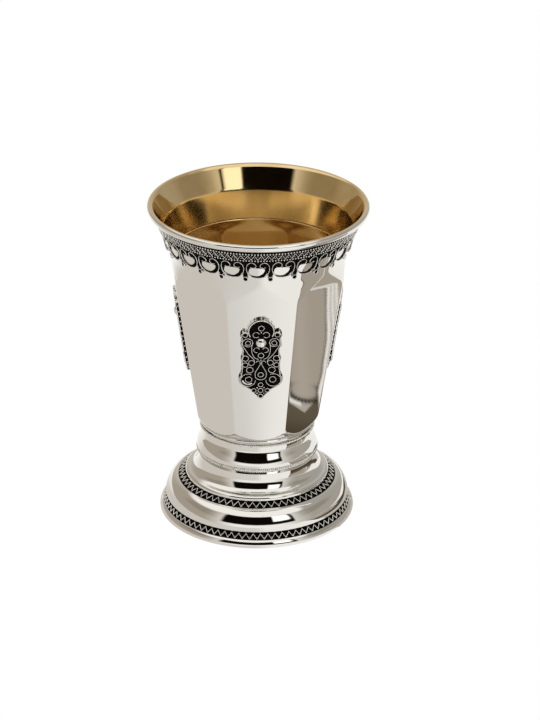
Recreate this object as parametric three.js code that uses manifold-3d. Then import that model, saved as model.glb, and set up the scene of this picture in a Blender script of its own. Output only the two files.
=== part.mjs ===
// Kiddush cup: an eight-sided silver beaker on a stepped round foot, dressed with filigree.
// Millimetres, +Z up, origin on the table under the middle of the cup.

import * as THREE from "three";
import { mergeVertices } from "three/addons/utils/BufferGeometryUtils.js";
import Module from "manifold-3d";

// ---- Driving dimensions -------------------------------------------------------------

const CUP_HEIGHT = 100;
const FACETS = 8;
const SHEET = 0.8;              // thickness of the silver sheet
const SEAM = 0.3;               // gap between two separate pieces

// Beaker: radii are half-widths over the flats.
const BEAKER_BASE_Z = 28.7;
const BASE_FLAT_R = 16.9;       // flat underside
const FACET_FOOT_Z = 31.8;      // the flats begin here
const FACET_FOOT_R = 17.95;
const FACET_TOP_Z = 80.6;       // the ridges fade out here
const FACET_TOP_R = 25.25;
const ROUND_Z = 84.5;           // fully round from here up
const ROUND_R = 26.3;
const FLARE_Z = 91.8;           // the wall turns out to the lip
const FLARE_R = 28.1;
const LIP_Z = 97.75;            // underside of the lip
const LIP_NECK_R = 31.0;
const LIP_R = 33.0;
const LIP_BEAD_R = 1.15;        // half the thickness of the rolled lip
const FLOOR_Z = 30.4;           // inside bottom of the beaker
const RIDGE_R = 1.1;            // radius of the soft ridge between two flats

// Foot: outer radii and heights of the spun steps.
const FOOT_R = 29.75;
const NECK_R = 16.65;
const NECK_TOP_Z = BEAKER_BASE_Z - SEAM;
const NECK_FOOT_Z = 25.4;
const COLLAR_R = 18.45;
const COLLAR_Z = 21.1;
const COVE_R = 17.1;            // waist under the collar
const COVE_Z = 19.9;
const BASE_R = 29.65;           // where the foot meets the table

// Applied wires.
const MILLED_WIRE = { ringR: 18.02, ringZ: 20.3, wireR: 0.6 };
const BEADED_WIRE = { ringR: 17.2, ringZ: 28.0, wireR: 0.4 };

// Zigzag strips: the two edges of each one's face, and its thickness.
const STRIP_THICKNESS = 0.6;
const UPPER_STRIP = { inR: 22.05, inZ: 11.9, outR: 23.95, outZ: 10.75 };
const LOWER_STRIP = { inR: 27.75, inZ: 4.15, outR: 28.7, outZ: 2.45 };

// Filigree band under the lip.
const BAND_LOOPS = 24;
const BAND_TURN = THREE.MathUtils.degToRad(-2.5);   // from the front flat to the nearest loop
const BAND_TOP_Z = 97.3;
const BAND_ROW_Z = 94.0;        // lower beaded row
const LOOP_BOTTOM_Z = 88.0;
const PENDANT_BOTTOM_Z = 86.6;
const BAND_THICKNESS = 0.6;
const BAND_BEAD = 0.25;         // how far a beaded row stands out

// Filigree plaques, one on every second flat.
const PLAQUE_MID_Z = 59.95;
const PLAQUE_PLATE = 0.6;
const PLAQUE_RIM = 0.45;        // height of the raised edge on the plate
const PLAQUE_RIM_WIDTH = 0.55;
const PLAQUE_BALL = { v: 5.35, r: 1.6 };

const TURN = 2 * Math.PI;
const FACET_ANGLE = TURN / FACETS;
const LATHE_STEPS = 44;
const WIRE_SIDES = 4;
const FACET_SLOPE = (FACET_TOP_R - FACET_FOOT_R) / (FACET_TOP_Z - FACET_FOOT_Z);

// ---- Materials ----------------------------------------------------------------------

function metal(color, roughness) {
  return new THREE.MeshStandardMaterial({ color, roughness, metalness: 1 });
}

const polishedSilver = metal(0xe3e1dc, 0.12);
const oxidisedSilver = metal(0x77736c, 0.4);

// ---- Helpers ------------------------------------------------------------------------

// Keep only the positions, with shared corners merged, so that the mesh is closed.
function closed(geometry) {
  geometry.deleteAttribute("normal");
  geometry.deleteAttribute("uv");
  const merged = mergeVertices(geometry, 1e-4);
  merged.computeVertexNormals();
  return merged;
}

// A closed profile of THREE.Vector2(radius, height) turned round the Z axis.
function turned(profile) {
  const outline = [...profile, profile[0].clone()];
  const geometry = new THREE.LatheGeometry(outline, LATHE_STEPS);
  geometry.rotateX(Math.PI / 2);
  return closed(geometry);
}

// A skin over a list of rings, each a list of points; a one-point ring is a pole.
function loft(rings) {
  const positions = [];
  const starts = [];
  for (const ring of rings) {
    starts.push(positions.length / 3);
    ring.forEach((point) => positions.push(point.x, point.y, point.z));
  }
  const index = [];
  for (let level = 0; level + 1 < rings.length; level += 1) {
    const lowCount = rings[level].length;
    const highCount = rings[level + 1].length;
    const steps = Math.max(lowCount, highCount);
    for (let step = 0; step < steps; step += 1) {
      const low = starts[level] + (step % lowCount);
      const lowNext = starts[level] + ((step + 1) % lowCount);
      const high = starts[level + 1] + (step % highCount);
      const highNext = starts[level + 1] + ((step + 1) % highCount);
      if (lowCount > 1) {
        index.push(low, lowNext, highNext);
      }
      if (highCount > 1) {
        index.push(low, highNext, high);
      }
    }
  }
  const geometry = new THREE.BufferGeometry();
  geometry.setAttribute("position", new THREE.Float32BufferAttribute(positions, 3));
  geometry.setIndex(index);
  geometry.computeVertexNormals();
  return geometry;
}

function node(name, geometry, material) {
  const mesh = new THREE.Mesh(geometry, material);
  mesh.name = name;
  return mesh;
}

// ---- Beaker -------------------------------------------------------------------------

// Directions of the wall's columns: close together at each ridge, wider over the flats.
function columnAngles() {
  const halfFacet = FACET_ANGLE / 2;
  const flat = 0.9 * halfFacet;
  const within = [-halfFacet, -flat, -flat / 2, 0, flat / 2, flat];
  const angles = [];
  for (let facet = 0; facet < FACETS; facet += 1) {
    within.forEach((angle) => angles.push(facet * FACET_ANGLE + angle - Math.PI / 2));
  }
  return angles;
}

const COLUMNS = columnAngles();

// Distance from the axis to an octagon whose ridges are rounded; a ridge as wide as the
// half-width gives a circle.
function wallRadius(halfWidth, ridgeR, angle) {
  const facet = Math.round((angle + Math.PI / 2) / FACET_ANGLE);
  const offset = Math.abs(angle + Math.PI / 2 - facet * FACET_ANGLE);
  const arcCentre = (halfWidth - ridgeR) / Math.cos(FACET_ANGLE / 2);
  const flatEnd = Math.atan((arcCentre * Math.sin(FACET_ANGLE / 2)) / halfWidth);
  if (offset < flatEnd) {
    return halfWidth / Math.cos(offset);
  }
  const fromRidge = FACET_ANGLE / 2 - offset;
  const sideways = arcCentre * Math.sin(fromRidge);
  return arcCentre * Math.cos(fromRidge) + Math.sqrt(ridgeR ** 2 - sideways ** 2);
}

function wallRing({ halfWidth, z, ridgeR = halfWidth }) {
  return COLUMNS.map((angle) => {
    const radius = wallRadius(halfWidth, ridgeR, angle);
    return new THREE.Vector3(radius * Math.cos(angle), radius * Math.sin(angle), z);
  });
}

// The wall's outer half-width at a height above the flats' top edge.
function flareHalfWidth(z) {
  if (z < ROUND_Z) {
    return THREE.MathUtils.mapLinear(z, FACET_TOP_Z, ROUND_Z, FACET_TOP_R, ROUND_R);
  }
  if (z < FLARE_Z) {
    return THREE.MathUtils.mapLinear(z, ROUND_Z, FLARE_Z, ROUND_R, FLARE_R);
  }
  return THREE.MathUtils.mapLinear(z, FLARE_Z, LIP_Z, FLARE_R, LIP_NECK_R);
}

function lipRings() {
  const middleR = LIP_R - LIP_BEAD_R;
  const middleZ = CUP_HEIGHT - LIP_BEAD_R;
  const rings = [];
  for (let step = -1; step <= 5; step += 1) {
    const turn = (step * Math.PI) / 4;
    const halfWidth = middleR + LIP_BEAD_R * Math.cos(turn);
    rings.push({ halfWidth, z: middleZ + LIP_BEAD_R * Math.sin(turn) });
  }
  return rings;
}

// The flats of one face of the wall, from the floor's level up to where the wall is round.
function flatRings(inset, footZ) {
  const footR = FACET_FOOT_R - inset + (footZ - FACET_FOOT_Z) * FACET_SLOPE;
  const fadeZ = FACET_TOP_Z - 5;
  const fadeR = FACET_TOP_R - inset - 5 * FACET_SLOPE;
  return [
    { halfWidth: footR, z: footZ, ridgeR: RIDGE_R * 2 },
    { halfWidth: fadeR, z: fadeZ, ridgeR: RIDGE_R },
    { halfWidth: FACET_TOP_R - inset, z: FACET_TOP_Z, ridgeR: 0.6 * FACET_TOP_R },
  ];
}

function beaker() {
  const outside = [
    { halfWidth: BASE_FLAT_R, z: BEAKER_BASE_Z },
    { halfWidth: BASE_FLAT_R + 0.5, z: BEAKER_BASE_Z + 0.8 },
    { halfWidth: FACET_FOOT_R - 0.2, z: FACET_FOOT_Z - 1.2, ridgeR: 0.6 * FACET_FOOT_R },
    ...flatRings(0, FACET_FOOT_Z),
    { halfWidth: ROUND_R, z: ROUND_Z },
    { halfWidth: FLARE_R, z: FLARE_Z },
    { halfWidth: LIP_NECK_R, z: LIP_Z },
  ];
  const floorR = FACET_FOOT_R - SHEET;
  const inside = [
    { halfWidth: FLARE_R - SHEET, z: FLARE_Z },
    { halfWidth: ROUND_R - SHEET, z: ROUND_Z },
    ...flatRings(SHEET, FLOOR_Z + 2).reverse(),
    { halfWidth: floorR - 1, z: FLOOR_Z + 0.4, ridgeR: 0.6 * floorR },
    { halfWidth: floorR - 3, z: FLOOR_Z },
  ];
  const rings = [...outside, ...lipRings(), ...inside].map(wallRing);
  const underside = [new THREE.Vector3(0, 0, BEAKER_BASE_Z)];
  const floor = [new THREE.Vector3(0, 0, FLOOR_Z)];
  return node("beaker", loft([underside, ...rings, floor]), polishedSilver);
}

// ---- Foot ---------------------------------------------------------------------------

// A point of a strip's section: how far across from its inner edge, and how deep below its face.
function stripPoint(strip, across, depth) {
  const face = new THREE.Vector2(strip.outR - strip.inR, strip.outZ - strip.inZ);
  const down = new THREE.Vector2(face.y, -face.x).normalize();
  const start = new THREE.Vector2(strip.inR, strip.inZ);
  return start.addScaledVector(face, across).addScaledVector(down, depth);
}

// The outside of the spun foot, from the top of the neck down to the table.
function footOutside() {
  const path = new THREE.Path();
  const ledgeDepth = STRIP_THICKNESS + SEAM;
  const upperIn = stripPoint(UPPER_STRIP, 0, ledgeDepth);
  const upperOut = stripPoint(UPPER_STRIP, 1, ledgeDepth);
  const lowerIn = stripPoint(LOWER_STRIP, 0, ledgeDepth);
  const lowerOut = stripPoint(LOWER_STRIP, 1, ledgeDepth);
  path.moveTo(NECK_R, NECK_TOP_Z);
  path.lineTo(NECK_R, NECK_FOOT_Z);
  path.bezierCurveTo(NECK_R + 0.6, NECK_FOOT_Z - 1.4, COLLAR_R, COLLAR_Z + 1.4, COLLAR_R, COLLAR_Z);
  path.lineTo(COVE_R, COVE_Z + 1.1);
  path.lineTo(COVE_R, COVE_Z - 0.5);
  path.lineTo(COVE_R + 0.65, COVE_Z - 1);
  path.bezierCurveTo(COVE_R + 0.7, COVE_Z - 4.3, UPPER_STRIP.inR - 2.6, UPPER_STRIP.inZ + 1.3,
    UPPER_STRIP.inR - SEAM, UPPER_STRIP.inZ);
  path.lineTo(upperIn.x - SEAM, upperIn.y);
  path.lineTo(upperOut.x, upperOut.y);
  path.lineTo(UPPER_STRIP.outR + SEAM, UPPER_STRIP.outZ - 0.2);
  path.bezierCurveTo(UPPER_STRIP.outR + 2.2, UPPER_STRIP.outZ - 1.9, LOWER_STRIP.inR + 0.9,
    LOWER_STRIP.inZ + 2.6, LOWER_STRIP.inR - 0.1, LOWER_STRIP.inZ + SEAM);
  path.lineTo(lowerIn.x - SEAM, lowerIn.y);
  path.lineTo(lowerOut.x, lowerOut.y);
  path.lineTo(LOWER_STRIP.outR + 0.1, LOWER_STRIP.outZ - SEAM);
  path.bezierCurveTo(FOOT_R + 0.1, LOWER_STRIP.outZ - 0.9, FOOT_R + 0.15, 0.5, BASE_R, 0);
  return path.getPoints(3);
}

// The hollow under the foot follows the steps, one sheet thickness in.
function footInside() {
  const path = new THREE.Path();
  const depth = STRIP_THICKNESS + SEAM + SHEET;
  const lowerIn = stripPoint(LOWER_STRIP, 0, depth);
  const lowerOut = stripPoint(LOWER_STRIP, 1, depth);
  const upperIn = stripPoint(UPPER_STRIP, 0, depth);
  const upperOut = stripPoint(UPPER_STRIP, 1, depth);
  path.moveTo(lowerOut.x + 0.5, 0);
  path.lineTo(lowerOut.x, lowerOut.y);
  path.lineTo(lowerIn.x - SEAM, lowerIn.y);
  path.quadraticCurveTo(lowerIn.x - SEAM, upperOut.y - 3, upperOut.x, upperOut.y);
  path.lineTo(upperIn.x - SEAM, upperIn.y);
  path.quadraticCurveTo(COVE_R - SHEET, upperIn.y + 1.6, COVE_R - SHEET, COVE_Z - 3);
  path.lineTo(COVE_R - SHEET, COLLAR_Z);
  path.lineTo(NECK_R - SHEET, NECK_FOOT_Z);
  path.lineTo(NECK_R - SHEET, NECK_TOP_Z);
  return path.getPoints(2);
}

function foot() {
  const profile = [...footInside().reverse(), ...footOutside().reverse()];
  return node("foot", turned(profile), polishedSilver);
}

// ---- Applied wires ------------------------------------------------------------------

// A flat strip of zigzag wire lying on a sloping ledge of the foot.
function zigzagStrip(name, strip) {
  const profile = [
    stripPoint(strip, 0, 0.15),
    stripPoint(strip, 0, STRIP_THICKNESS),
    stripPoint(strip, 1, STRIP_THICKNESS),
    stripPoint(strip, 1, 0.15),
    stripPoint(strip, 0.5, -0.05),
  ];
  return node(name, turned(profile), oxidisedSilver);
}

function roundWire(name, { ringR, ringZ, wireR }) {
  const profile = [];
  for (let side = 0; side < WIRE_SIDES; side += 1) {
    const turn = (side * TURN) / WIRE_SIDES;
    profile.push(new THREE.Vector2(ringR + wireR * Math.cos(turn), ringZ + wireR * Math.sin(turn)));
  }
  return node(name, turned(profile), polishedSilver);
}

// ---- Filigree band ------------------------------------------------------------------

// Lower edge of the band at a place across one loop, from -1 to 1: a loop, then a pendant.
const LOOP_PLACES = [-1, -0.8, -0.62, 0, 0.62, 0.8];

function bandBottomZ(place) {
  const across = Math.abs(place);
  if (across < 0.75) {
    return LOOP_BOTTOM_Z + 1.1 * (across / 0.7) ** 3;
  }
  return PENDANT_BOTTOM_Z + 0.5 * (1 - across) / 0.2;
}

function bandColumn(angle, place) {
  const bottomZ = bandBottomZ(place);
  const section = [
    [0, bottomZ],
    [0, FLARE_Z],
    [0, BAND_TOP_Z],
    [BAND_THICKNESS + BAND_BEAD, BAND_TOP_Z],
    [BAND_THICKNESS, BAND_TOP_Z - 1.4],
    [BAND_THICKNESS + BAND_BEAD, BAND_ROW_Z],
    [BAND_THICKNESS, bottomZ],
  ];
  return section.map(([standOff, z]) => {
    const radius = flareHalfWidth(z) + SEAM + standOff;
    return new THREE.Vector3(radius * Math.cos(angle), radius * Math.sin(angle), z);
  });
}

function rimBand() {
  const columns = [];
  for (let loop = 0; loop < BAND_LOOPS; loop += 1) {
    for (const place of LOOP_PLACES) {
      const angle = ((loop + place / 2) * TURN) / BAND_LOOPS + BAND_TURN - Math.PI / 2;
      columns.push(bandColumn(angle, place));
    }
  }
  const height = columns[0].length;
  const rings = [];
  for (let row = 0; row <= height; row += 1) {
    rings.push(columns.map((column) => column[row % height]));
  }
  return node("rim_band", closed(loft(rings.reverse())), oxidisedSilver);
}

// ---- Plaques ------------------------------------------------------------------------

// The plaque's outline, inset by some width: an arch, three pairs of lobes and a hanging tip.
function plaqueOutline(inset) {
  const right = [
    { u: 0, v: 10.2, r: 3.9, from: 0.5, to: -0.05 },
    { u: 4.7, v: 7.6, r: 1.4, from: 0.45, to: -0.2 },
    { u: 3.9, v: 5.0, r: 2.1, from: 0.1, to: -0.25 },
    { u: 4.7, v: 0.0, r: 1.2, from: 0.3, to: -0.15 },
    { u: 4.6, v: -2.3, r: 1.1, from: 0.1, to: -0.15 },
    { u: 3.7, v: -7.2, r: 2.85, from: 0.22, to: -0.38 },
    { u: 1.9, v: -11.0, r: 1.05, from: 0.1, to: -0.4 },
    { u: 0, v: -12.9, r: 1.1, from: 0.0, to: -0.5 },
  ];
  const points = [];
  for (const lobe of right) {
    for (let step = 0; step <= 2; step += 1) {
      const turn = THREE.MathUtils.lerp(lobe.from, lobe.to, step / 2) * Math.PI;
      const radius = lobe.r - inset;
      points.push(new THREE.Vector2(radius * Math.cos(turn), radius * Math.sin(turn)));
      points.at(-1).add(new THREE.Vector2(lobe.u, lobe.v));
    }
  }
  const left = points.slice(1, -1).map((point) => new THREE.Vector2(-point.x, point.y));
  return new THREE.Shape([...points, ...left.reverse()].reverse());
}

const wasm = await Module();
wasm.setup();

function toSolid(geometry) {
  const merged = closed(geometry);
  const vertices = Float32Array.from(merged.attributes.position.array);
  const triangles = Uint32Array.from(merged.index.array);
  return new wasm.Manifold(new wasm.Mesh({ numProp: 3, vertProperties: vertices, triVerts: triangles }));
}

function fromSolid(solid) {
  const mesh = solid.getMesh();
  const geometry = new THREE.BufferGeometry();
  geometry.setAttribute("position", new THREE.Float32BufferAttribute(mesh.vertProperties, 3));
  geometry.setIndex(Array.from(mesh.triVerts));
  geometry.computeVertexNormals();
  return geometry;
}

// Plate with a raised edge and a ball, lying in the XY plane with its back at z = 0.
function plaqueGeometry() {
  const block = new THREE.ExtrudeGeometry(plaqueOutline(0), {
    depth: PLAQUE_PLATE + PLAQUE_RIM,
    bevelEnabled: false,
  });
  const recess = new THREE.ExtrudeGeometry(plaqueOutline(PLAQUE_RIM_WIDTH), {
    depth: PLAQUE_RIM + 1,
    bevelEnabled: false,
  });
  recess.translate(0, 0, PLAQUE_PLATE);
  const ball = new THREE.SphereGeometry(PLAQUE_BALL.r, 8, 5);
  ball.scale(1, 1, 0.75);
  ball.translate(0, PLAQUE_BALL.v, PLAQUE_PLATE);
  const belowPlate = new THREE.BoxGeometry(40, 40, 10);
  belowPlate.translate(0, 0, -5);
  const dished = toSolid(block).subtract(toSolid(recess));
  return fromSolid(dished.add(toSolid(ball)).subtract(toSolid(belowPlate)));
}

function plaques() {
  const geometry = plaqueGeometry();
  const ring = new THREE.Group();
  const halfWidth = FACET_FOOT_R + (PLAQUE_MID_Z - FACET_FOOT_Z) * FACET_SLOPE;
  ["front", "right", "back", "left"].forEach((side, quarter) => {
    const plaque = node(`plaque_${side}`, geometry, oxidisedSilver);
    plaque.rotation.x = Math.PI / 2 + Math.atan(FACET_SLOPE);
    plaque.position.set(0, -halfWidth - SEAM, PLAQUE_MID_Z);
    const turn = new THREE.Group();
    turn.rotation.z = (quarter * Math.PI) / 2;
    turn.add(plaque);
    ring.add(turn);
  });
  return ring;
}

// ---- The cup ------------------------------------------------------------------------

const cup = new THREE.Group();
cup.add(beaker());
cup.add(foot());
cup.add(rimBand());
cup.add(plaques());
cup.add(zigzagStrip("foot_wire_lower", LOWER_STRIP));
cup.add(zigzagStrip("foot_wire_upper", UPPER_STRIP));
cup.add(roundWire("collar_wire_lower", MILLED_WIRE));
cup.add(roundWire("collar_wire_upper", BEADED_WIRE));

export default cup;
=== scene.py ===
"""Kiddush cup: the finished look of the silver cup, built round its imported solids.

Sizes are in millimetres until a mesh is made. Azimuth 0 faces the front plaque (-Y).
"""

import math

import bmesh
import bpy
import numpy as np
from mathutils import Matrix, Vector


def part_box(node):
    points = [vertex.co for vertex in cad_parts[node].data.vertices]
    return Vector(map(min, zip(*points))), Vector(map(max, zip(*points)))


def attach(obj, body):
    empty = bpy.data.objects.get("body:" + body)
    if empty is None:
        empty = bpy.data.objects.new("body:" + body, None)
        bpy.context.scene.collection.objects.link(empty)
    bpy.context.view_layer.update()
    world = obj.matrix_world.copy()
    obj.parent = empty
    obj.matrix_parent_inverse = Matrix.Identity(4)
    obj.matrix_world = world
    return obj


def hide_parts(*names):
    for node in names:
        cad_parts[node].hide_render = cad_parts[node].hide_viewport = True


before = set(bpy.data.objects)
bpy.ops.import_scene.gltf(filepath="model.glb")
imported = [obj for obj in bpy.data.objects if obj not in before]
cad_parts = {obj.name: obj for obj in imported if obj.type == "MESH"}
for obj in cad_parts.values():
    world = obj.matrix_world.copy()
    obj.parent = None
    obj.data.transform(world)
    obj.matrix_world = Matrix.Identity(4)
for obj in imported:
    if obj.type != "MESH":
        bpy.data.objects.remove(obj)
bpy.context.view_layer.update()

MM = 0.001
TURN = 2 * math.pi
WELD_GAP = 0.0002  # points closer than this are joined
WIRE_SIDES = 6


# ---- Sizes of the cup's forms, the first four taken from the frame ----

BEAKER_LOW, BEAKER_HIGH = np.array(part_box("beaker")) / MM
LIP_R = BEAKER_HIGH[0]
LIP_TOP = BEAKER_HIGH[2]
BASE_Z = BEAKER_LOW[2]
NECK_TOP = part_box("foot")[1][2] / MM

FACETS = 8
SHEET = 0.8  # thickness of the silver sheet

RIDGE_R = 1.1  # radius of the soft ridge between two flats
WALL_Z = np.array([31.8, 80.6, 84.5, 91.8, 97.75])
WALL_HALF = np.array([17.95, 25.25, 26.3, 28.1, 31.0])
WALL_SLOPE = (WALL_HALF[1] - WALL_HALF[0]) / (WALL_Z[1] - WALL_Z[0])
BEND_ROUNDING = 0.9  # height over which a bend of the wall is rounded, each way
BASE_BLEND = 0.12  # softness of the edge above the rounded base
DENT = (0.14, 0.5, 0.4)  # depth, height and width of the dent on top of a ridge
FLOOR_Z = 30.4
INNER_CREASES = (84.3, 93.3)  # heights of the bends inside, and half-widths there
INNER_HALVES = (25.55, 27.9)
INNER_LIP_Z = (97.9, 99.0)  # the same for the inside of the lip
INNER_LIP_HALVES = (30.35, 30.95)
GILT_EDGE = (32.35, 99.97)  # where the gilding begins on the lip
GROOVE = (0.1, 0.16)  # depth and height of the groove at the lower bend

# Foot: radius and height of the points between its curves.
NECK_OUT = (16.95, NECK_TOP)
NECK_IN = (15.85, NECK_TOP)
COLLAR = (18.45, 21.1)
COVE = (17.95, 18.9)
COVE_END = (21.95, 12.2)
UPPER_IN = (22.05, 11.9)
UPPER_OUT = (23.95, 10.75)
DOME_TOP = (24.15, 10.62)
DOME_END = (27.72, 4.4)
LOWER_IN = (27.75, 4.15)
LOWER_OUT = (28.7, 2.45)
FLANGE_TOP = (28.85, 2.2)
STANDING_EDGE = (29.35, 0.0)
UNDER_EDGE = (28.6, 0.1)
UPPER_TEETH = 64
LOWER_TEETH = 80
STRIP_DEPTH = 0.5  # depth of the channel under a strip
BED_DEPTH = 0.4  # depth of the blackened bed below the strip's face
MILLED_RING = (18.02, 20.3, 0.6)  # ring radius, height and wire radius
BEADED_RING = (17.2, 28.0, 0.4)
STRAND_REACH = 0.27  # from the middle of the milled wire to that of a strand
STRAND_TURNS = 90
STRAND_STEPS = 12  # points to each turn of a strand
WIRE_BEADS = 180
BEAD_CORE_R = 0.26
ROUND_STEPS = 288  # columns round the foot and its strips

BAND_LOOPS = 24
BAND_PHASE = math.radians(-2.5)
BAND_MID_R = 29.2
BAND_TOP = 97.2
BAND_TOP_ROW = 96.85
BAND_LOW_ROW = 94.38
LOOP_STEPS = 24  # columns of the bed to one loop
LATTICE_TEETH = 4  # zigzags over one loop
LOOP_BOTTOM = 88.0
LOOP_RISE = 1.9  # from the bottom of a loop's bed up to a pendant
PENDANT_Z = 87.6
PENDANT_R = 0.9
PENDANT_SHARE = 0.2  # how much of a loop's width a pendant takes
LATTICE_Z = (94.75, 96.35)
WINDOW_MID = (-0.45, 90.5)  # middle of the oval inside a loop
WINDOW_SIZE = (2.6, 0.95, 2.1)  # its half-width, and its reach up and down
GRAIN_SQUASH = 0.85

PLAQUE_MID_Z = 59.95
PLATE = 0.85  # how far a plaque's plate stands out
ARCH_LOW = 9.5  # height of the foot of the plaque's arch, from its middle

# ---- Materials ----

class Look:
    """A material in the making, with short ways to add and link its nodes."""

    def __init__(self, name, metallic=1.0):
        self.material = bpy.data.materials.new(name)
        self.material.use_nodes = True
        self.nodes = self.material.node_tree.nodes
        self.link = self.material.node_tree.links.new
        self.shader = self.nodes["Principled BSDF"].inputs
        self.shader["Metallic"].default_value = metallic

    def place(self):
        """The place in the piece's own space, in metres."""
        return self.nodes.new("ShaderNodeTexCoord").outputs["Object"]

    def noise(self, scale, detail, stretch=None):
        """A noise texture, stretched if asked."""
        texture = self.nodes.new("ShaderNodeTexNoise")
        texture.inputs["Scale"].default_value = scale
        texture.inputs["Detail"].default_value = detail
        source = self.place()
        if stretch:
            mapping = self.nodes.new("ShaderNodeMapping")
            mapping.inputs["Scale"].default_value = stretch
            self.link(source, mapping.inputs["Vector"])
            source = mapping.outputs["Vector"]
        self.link(source, texture.inputs["Vector"])
        return texture.outputs[0]

    def ramp(self, source, stops, target):
        """Sets an input of the shader from a value, through colour stops."""
        node = self.nodes.new("ShaderNodeValToRGB")
        elements = node.color_ramp.elements
        while len(elements) < len(stops):
            elements.new(0.5)
        for element, (position, color) in zip(elements, stops):
            element.position = position
            element.color = (*color, 1)
        self.link(source, node.inputs["Fac"])
        self.link(node.outputs["Color"], self.shader[target])

    def roughness(self, source, low, high):
        """Lets the roughness follow a value, between a lowest and a highest."""
        node = self.nodes.new("ShaderNodeMapRange")
        node.inputs["To Min"].default_value = low
        node.inputs["To Max"].default_value = high
        self.link(source, node.inputs["Value"])
        self.link(node.outputs["Result"], self.shader["Roughness"])

    def bump(self, height, distance, under=None):
        """Adds relief, on top of the relief under it if there is any."""
        node = self.nodes.new("ShaderNodeBump")
        node.inputs["Distance"].default_value = distance
        self.link(height, node.inputs["Height"])
        if under:
            self.link(under, node.inputs["Normal"])
        self.link(node.outputs["Normal"], self.shader["Normal"])
        return node.outputs["Normal"]


def polished_silver():
    """Polished silver: soft waves, hairline scratches and a few dark specks."""
    look = Look("polished_silver")
    specks = look.nodes.new("ShaderNodeTexVoronoi")
    specks.inputs["Scale"].default_value = 95
    look.link(look.place(), specks.inputs["Vector"])
    look.ramp(specks.outputs["Distance"], [
        (0.0, (0.25, 0.22, 0.18)),
        (0.02, (0.5, 0.47, 0.42)),
        (0.035, (0.80, 0.785, 0.755)),
    ], "Base Color")
    look.roughness(look.noise(180, 4), 0.01, 0.05)
    waves = look.bump(look.noise(70, 1), 0.00003)
    look.bump(look.noise(900, 2, (1, 1, 6)), 0.000001, waves)
    return look.material


def bright_wire():
    """Filigree wire: bright on top, with black left in its finest hollows."""
    look = Look("filigree_wire")
    look.ramp(look.noise(1400, 3), [
        (0.26, (0.45, 0.42, 0.37)),
        (0.42, (0.90, 0.88, 0.84)),
        (0.7, (0.97, 0.96, 0.93)),
    ], "Base Color")
    look.roughness(look.noise(900, 2), 0.12, 0.36)
    look.bump(look.noise(2500, 2), 0.00004)
    return look.material


def oxidised_silver():
    """The blackened bed between the wires."""
    look = Look("oxidised_silver", metallic=0.0)
    look.shader["Specular IOR Level"].default_value = 0.04
    look.ramp(look.noise(700, 4), [
        (0.4, (0.0012, 0.001, 0.0008)),
        (0.65, (0.004, 0.0033, 0.0025)),
        (0.82, (0.05, 0.043, 0.035)),
    ], "Base Color")
    look.roughness(look.noise(500, 2), 0.45, 0.75)
    look.bump(look.noise(1600, 3), 0.0001)
    return look.material


def gilding():
    """The gilt inside: polished at the mouth and softer below, with faint turning marks."""
    look = Look("gilding")
    look.ramp(look.noise(120, 4), [
        (0.3, (0.73, 0.54, 0.27)),
        (0.55, (0.79, 0.605, 0.33)),
        (0.8, (0.83, 0.66, 0.40)),
    ], "Base Color")
    axes = look.nodes.new("ShaderNodeSeparateXYZ")
    depth = look.nodes.new("ShaderNodeMapRange")
    depth.inputs["From Min"].default_value = 0.08
    depth.inputs["From Max"].default_value = 0.1
    look.link(look.place(), axes.inputs["Vector"])
    look.link(axes.outputs["Z"], depth.inputs["Value"])
    softness = ((0.16, 0.32), (0.24, 0.16), (0.64, 0.14), (0.7, 0.06))
    stops = [(position, (rough, rough, rough)) for position, rough in softness]
    look.ramp(depth.outputs["Result"], stops, "Roughness")
    waves = look.bump(look.noise(60, 1), 0.000012)
    look.bump(look.noise(100, 1, (0.3, 0.3, 6)), 0.000001, waves)
    return look.material


MATERIALS = [polished_silver(), bright_wire(), oxidised_silver(), gilding()]
SILVER, WIRE, BLACK, GILT = range(4)


# ---- Mesh building ----

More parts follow.
